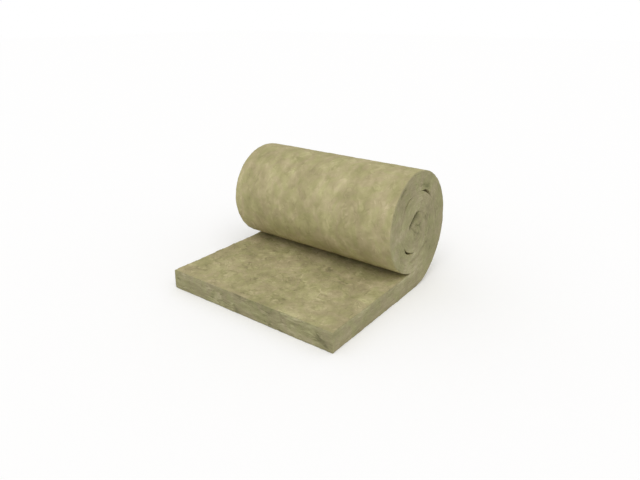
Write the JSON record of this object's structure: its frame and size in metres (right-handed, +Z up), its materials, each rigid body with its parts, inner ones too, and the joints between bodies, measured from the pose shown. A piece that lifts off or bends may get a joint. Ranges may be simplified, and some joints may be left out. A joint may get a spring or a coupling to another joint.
{
  "type": "rock wool insulation roll mat, partly unrolled",
  "caption": "Thick soft mineral wool roof insulation mat with a flat unrolled tail, the rest wound back over it into a roll.",
  "frame": {"origin": "on the floor under the middle of the whole mat (bottom centre of its box)", "axes": "+X from the cut end of the flat tail towards the roll, +Y along the axis of the roll (the mat's width), +Z up"},
  "size_m": [1.035, 1, 0.63],
  "materials": {
    "rock_wool": "matte, fibrous, mottled olive khaki mineral wool"
  },
  "bodies": {
    "root": {"mat": "rock_wool"}
  },
  "joints": []
}
